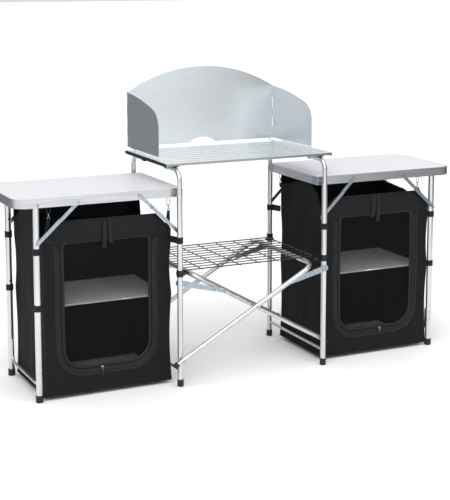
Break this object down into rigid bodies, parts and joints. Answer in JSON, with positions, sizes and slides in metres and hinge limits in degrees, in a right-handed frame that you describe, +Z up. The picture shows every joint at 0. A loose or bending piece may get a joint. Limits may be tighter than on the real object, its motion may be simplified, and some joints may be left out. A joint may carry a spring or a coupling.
{
  "type": "camp kitchen table",
  "caption": "Folding aluminium camp kitchen: two side tables over zipped fabric cabinets, an X frame with a wire shelf between them, and a raised slatted shelf with a three-panel windscreen.",
  "frame": {"origin": "floor, under the middle of the object's box, midway between the two side tables", "axes": "+X along the length to the right-hand table, -Y is the front with the cabinet windows, +Z up"},
  "size_m": [1.976, 0.562, 1.2389],
  "materials": {
    "laminate": "white melamine laminate",
    "aluminium": "satin anodised tube and extrusion",
    "slats": "satin anodised extrusion",
    "screen": "mill-finish sheet",
    "zinc": "zinc-plated",
    "wire": "plated wire",
    "black_plastic": "moulded",
    "cloth": "coated polyester",
    "mesh": "open net",
    "board": "net-covered board",
    "webbing": "woven webbing"
  },
  "bodies": {
    "root": {"left_table_rim": "aluminium", "left_table_board": "laminate", "left_corner_brackets": "zinc", "left_fasteners": "zinc", "left_inner_legs": "aluminium", "left_inner_feet": "black_plastic", "left_inner_crossbar": "aluminium", "left_extension_tubes": "aluminium", "left_extension_caps": "black_plastic", "left_inner_braces": "zinc", "left_shelf_clips": "black_plastic", "left_cabinet_shell": "cloth", "left_cabinet_window": "mesh", "left_cabinet_boards": "board", "left_inner_straps": "webbing", "left_cabinet_hooks": "zinc"},
    "left_outer_frame": {"left_outer_legs": "aluminium", "left_outer_feet": "black_plastic", "left_outer_crossbar": "aluminium", "left_outer_straps": "webbing"},
    "left_brace_upper": {"left_outer_brace_uppers": "zinc"},
    "left_brace_lower": {"left_outer_brace_lowers": "zinc"},
    "left_stay": {"left_stays": "zinc"},
    "left_zip": {"left_zip_slider": "zinc"},
    "wide_frame": {"x_frame_wide": "aluminium", "wide_frame_caps": "black_plastic", "cross_bolts": "zinc"},
    "narrow_frame": {"x_frame_narrow": "aluminium", "narrow_frame_caps": "black_plastic"},
    "right_side": {"right_table_rim": "aluminium", "right_table_board": "laminate", "right_corner_brackets": "zinc", "right_fasteners": "zinc", "right_inner_legs": "aluminium", "right_inner_feet": "black_plastic", "right_inner_crossbar": "aluminium", "right_extension_tubes": "aluminium", "right_extension_caps": "black_plastic", "right_inner_braces": "zinc", "right_shelf_clips": "black_plastic", "right_cabinet_shell": "cloth", "right_cabinet_window": "mesh", "right_cabinet_boards": "board", "right_inner_straps": "webbing", "right_cabinet_hooks": "zinc"},
    "right_outer_frame": {"right_outer_legs": "aluminium", "right_outer_feet": "black_plastic", "right_outer_crossbar": "aluminium", "right_outer_straps": "webbing"},
    "right_brace_upper": {"right_outer_brace_uppers": "zinc"},
    "right_brace_lower": {"right_outer_brace_lowers": "zinc"},
    "right_stay": {"right_stays": "zinc"},
    "right_zip": {"right_zip_slider": "zinc"},
    "wire_shelf_body": {"wire_shelf": "wire"},
    "slat_shelf": {"shelf_slats": "slats", "shelf_rails": "black_plastic"},
    "windscreen": {"windscreen_back": "screen", "windscreen_wires": "zinc"},
    "left_wing_body": {"left_wing": "screen"},
    "right_wing_body": {"right_wing": "screen"}
  },
  "joints": [
    {"name": "scissor_fold", "type": "hinge", "parent": "root", "child": "wide_frame", "pos_m": [-0.328, 0, 0.111], "axis": [0, -1, 0], "range_deg": [0, 10]},
    {"name": "narrow_frame_fold", "type": "hinge", "parent": "wide_frame", "child": "narrow_frame", "pos_m": [0, 0, 0.296], "axis": [0, -1, 0], "range_deg": [-20, 0]},
    {"name": "right_side_travel", "type": "hinge", "parent": "narrow_frame", "child": "right_side", "pos_m": [0.328, 0, 0.111], "axis": [0, -1, 0], "range_deg": [0, 10]},
    {"name": "left_stay_swing", "type": "hinge", "parent": "root", "child": "left_stay", "pos_m": [-0.328, 0, 0.42], "axis": [0, -1, 0], "range_deg": [0, 21.8]},
    {"name": "right_stay_swing", "type": "hinge", "parent": "right_side", "child": "right_stay", "pos_m": [0.328, 0, 0.42], "axis": [0, -1, 0], "range_deg": [-21.8, 0]},
    {"name": "wire_shelf_lift", "type": "slide", "parent": "root", "child": "wire_shelf_body", "axis": [-0.3304, 0, 0.9439], "range_m": [0, 0.11105]},
    {"name": "slat_shelf_lift", "type": "slide", "parent": "root", "child": "slat_shelf", "axis": [0, 0, 1], "range_m": [0, 0.05246]},
    {"name": "windscreen_lift", "type": "slide", "parent": "slat_shelf", "child": "windscreen", "axis": [0, 0, 1], "range_m": [0, 0.04]},
    {"name": "left_wing_fold", "type": "hinge", "parent": "windscreen", "child": "left_wing_body", "pos_m": [-0.348, 0.2535, 1.02], "axis": [0, 0, 1], "range_deg": [0, 90]},
    {"name": "right_wing_fold", "type": "hinge", "parent": "windscreen", "child": "right_wing_body", "pos_m": [0.348, 0.2535, 1.02], "axis": [0, 0, -1], "range_deg": [0, 90]},
    {"name": "left_leg_fold", "type": "hinge", "parent": "root", "child": "left_outer_frame", "pos_m": [-0.897, 0, 0.775], "axis": [0, -1, 0], "range_deg": [0, 58], "deforming": ["left_cabinet_shell", "left_cabinet_window", "left_cabinet_boards", "left_zip_slider"]},
    {"name": "left_brace_upper_swing", "type": "hinge", "parent": "root", "child": "left_brace_upper", "pos_m": [-0.734, 0, 0.776], "axis": [0, -1, 0], "range_deg": [0, 114.72]},
    {"name": "left_brace_lower_swing", "type": "hinge", "parent": "left_outer_frame", "child": "left_brace_lower", "pos_m": [-0.897, 0, 0.625], "axis": [0, -1, 0], "range_deg": [-80.41, 0]},
    {"name": "left_zip_slide", "type": "slide", "parent": "root", "child": "left_zip", "axis": [-1, 0, 0], "range_m": [-0.115, 0.065]},
    {"name": "right_leg_fold", "type": "hinge", "parent": "right_side", "child": "right_outer_frame", "pos_m": [0.897, 0, 0.775], "axis": [0, 1, 0], "range_deg": [0, 58], "deforming": ["right_cabinet_shell", "right_cabinet_window", "right_cabinet_boards", "right_zip_slider"]},
    {"name": "right_brace_upper_swing", "type": "hinge", "parent": "right_side", "child": "right_brace_upper", "pos_m": [0.734, 0, 0.776], "axis": [0, 1, 0], "range_deg": [0, 114.72]},
    {"name": "right_brace_lower_swing", "type": "hinge", "parent": "right_outer_frame", "child": "right_brace_lower", "pos_m": [0.897, 0, 0.625], "axis": [0, 1, 0], "range_deg": [-80.41, 0]},
    {"name": "right_zip_slide", "type": "slide", "parent": "right_side", "child": "right_zip", "axis": [1, 0, 0], "range_m": [-0.115, 0.065]}
  ],
  "couplings": [
    {"joint": "narrow_frame_fold", "follows": "scissor_fold", "ratio": -2},
    {"joint": "right_side_travel", "follows": "scissor_fold", "ratio": 1},
    {"joint": "left_stay_swing", "follows": "scissor_fold", "ratio": 2.18},
    {"joint": "right_stay_swing", "follows": "scissor_fold", "ratio": -2.18},
    {"joint": "wire_shelf_lift", "follows": "scissor_fold", "m_per_rad": 0.63569},
    {"joint": "slat_shelf_lift", "follows": "scissor_fold", "m_per_rad": 0.3},
    {"joint": "left_brace_upper_swing", "follows": "left_leg_fold", "ratio": 1.9776},
    {"joint": "left_brace_lower_swing", "follows": "left_leg_fold", "ratio": -1.386},
    {"joint": "right_brace_upper_swing", "follows": "right_leg_fold", "ratio": 1.9776},
    {"joint": "right_brace_lower_swing", "follows": "right_leg_fold", "ratio": -1.386}
  ]
}
